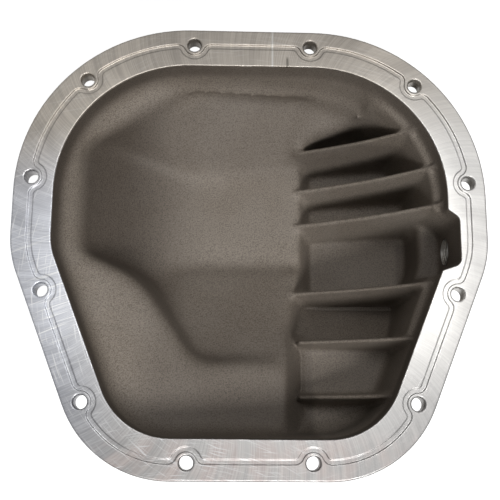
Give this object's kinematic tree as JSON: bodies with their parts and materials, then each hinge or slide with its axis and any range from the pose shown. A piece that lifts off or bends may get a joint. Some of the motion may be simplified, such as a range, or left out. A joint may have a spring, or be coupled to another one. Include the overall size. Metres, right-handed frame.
{
  "type": "differential cover",
  "caption": "Deep cast aluminium axle differential cover with a machined bolting flange, sealant groove, inner ribs, side filler port and cooling fins on the back.",
  "frame": {"origin": "middle of the flange outline, in the plane of the machined gasket face", "axes": "+X along the axle tubes, towards the filler port; +Y up as fitted; +Z out of the gasket face, towards the axle housing, up as the cover lies on its back"},
  "size_m": [0.3588, 0.3438, 0.133],
  "materials": {
    "casting": "raw sand casting, dark grey-brown inside, bright machined flange face"
  },
  "bodies": {
    "root": {"cover": "casting"}
  },
  "joints": []
}
